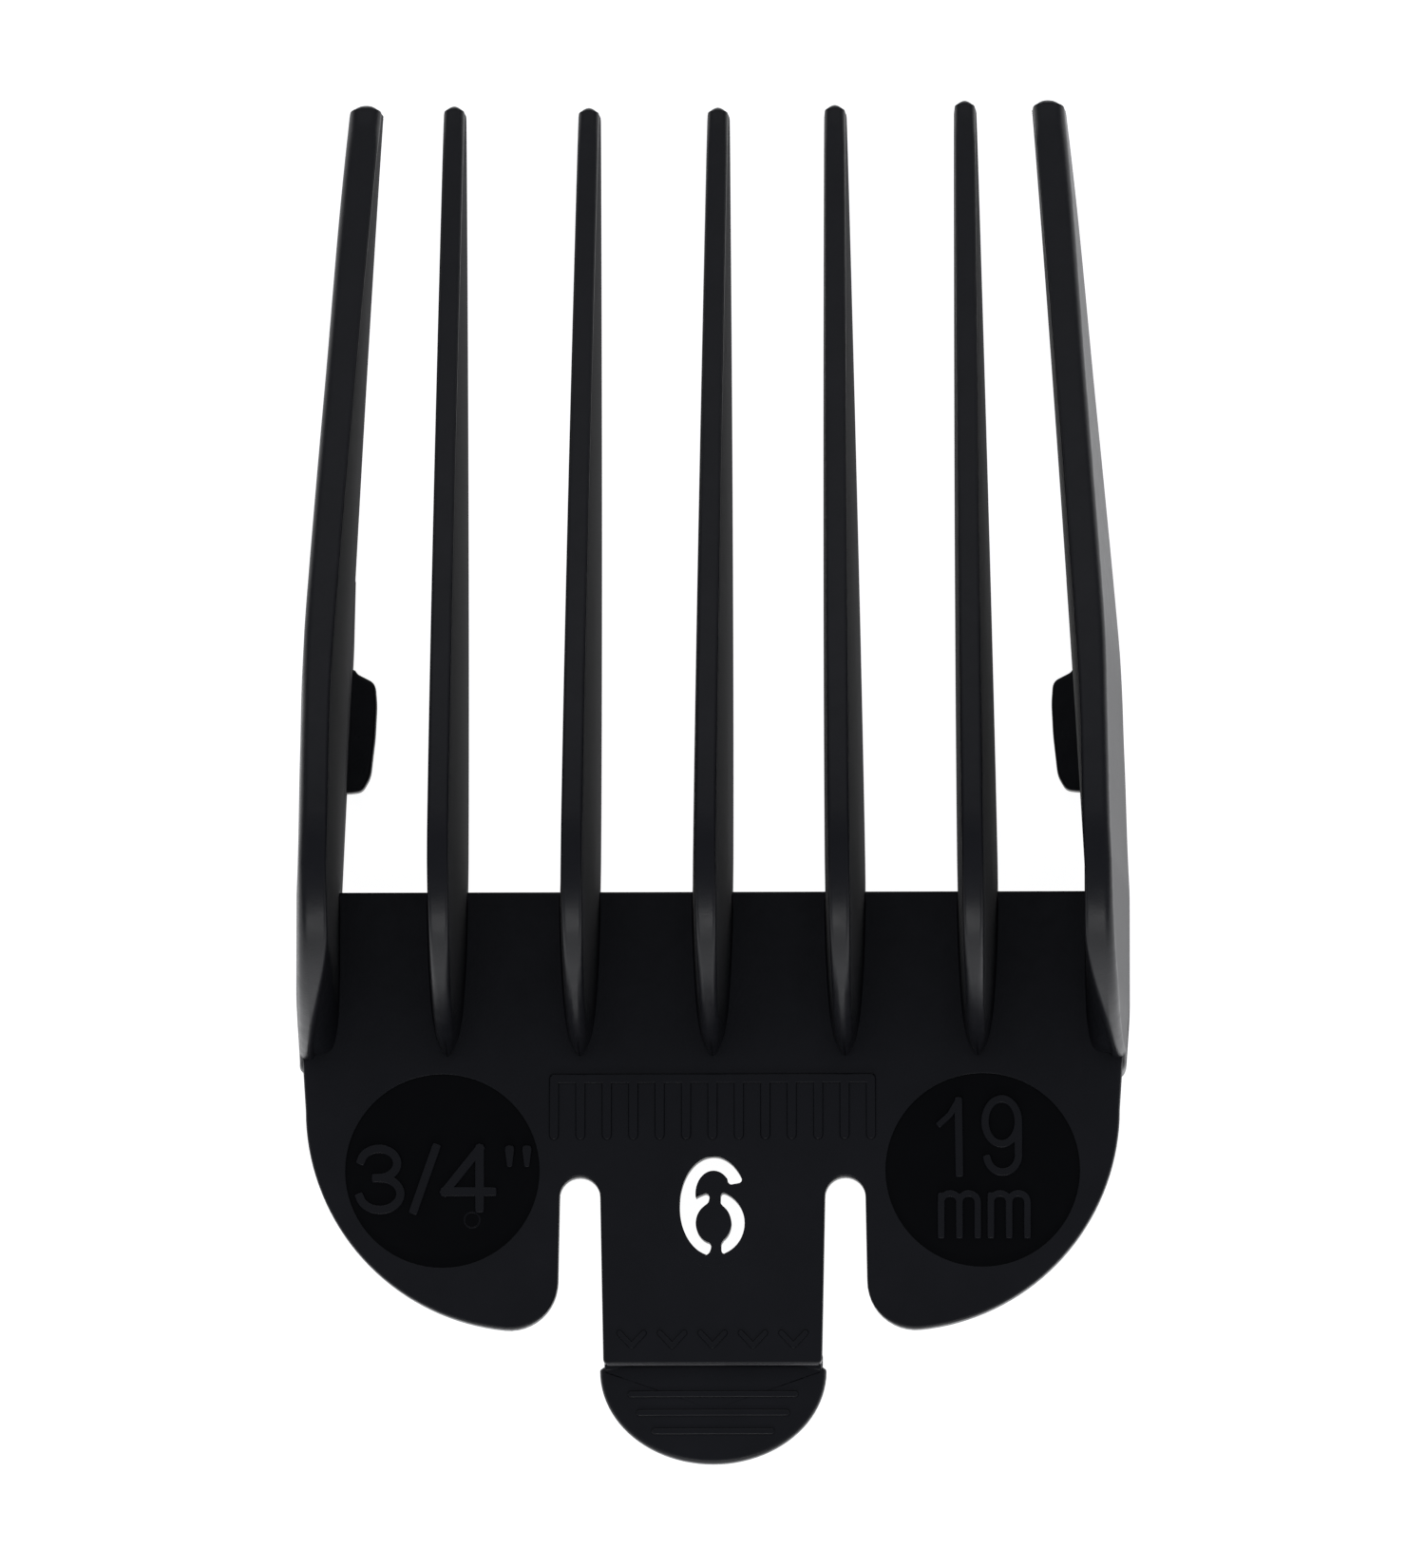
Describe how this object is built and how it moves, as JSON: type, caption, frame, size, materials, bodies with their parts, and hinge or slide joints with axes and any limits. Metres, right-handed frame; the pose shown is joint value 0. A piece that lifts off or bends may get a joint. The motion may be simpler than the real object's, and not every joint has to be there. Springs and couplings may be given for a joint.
{
  "type": "clipper guard comb",
  "caption": "Clip-on hair clipper guard comb: flat blade seat with rounded heels, tall fin-shaped teeth, blade rails with lugs, and a flexing release tab with a latch and thumb lip.",
  "frame": {"origin": "centre of the face that seats on the clipper's fixed blade, on the comb's midline, 9 mm behind the plate's front edge", "axes": "+X across the comb, +Y towards the tooth tips, +Z away from the blade, towards the skin"},
  "size_m": [0.0516, 0.0846, 0.0241],
  "materials": {
    "black_nylon": "fine spark-eroded satin texture, as moulded",
    "polished_nylon": "polished mould insert, low gloss"
  },
  "bodies": {
    "comb_body": {"base_plate": "black_nylon", "left_heel": "black_nylon", "right_heel": "black_nylon", "left_side_tooth": "black_nylon", "right_side_tooth": "black_nylon", "tooth_1": "black_nylon", "tooth_2": "black_nylon", "tooth_3": "black_nylon", "tooth_4": "black_nylon", "tooth_5": "black_nylon", "left_blade_rail": "black_nylon", "right_blade_rail": "black_nylon", "left_blade_lug": "black_nylon", "right_blade_lug": "black_nylon", "comb_mark": "black_nylon", "inch_size_disc": "polished_nylon", "metric_size_disc": "polished_nylon"},
    "tab_body": {"release_tab": "black_nylon", "latch_post": "black_nylon", "latch_nose": "black_nylon", "thumb_lip": "black_nylon"}
  },
  "joints": [
    {"name": "release_tab_flex", "type": "hinge", "parent": "comb_body", "child": "tab_body", "pos_m": [0, -0.007, 0.00065], "axis": [-1, 0, 0], "range_deg": [0, 12], "stiffness_Nm_per_rad": 0.03}
  ]
}
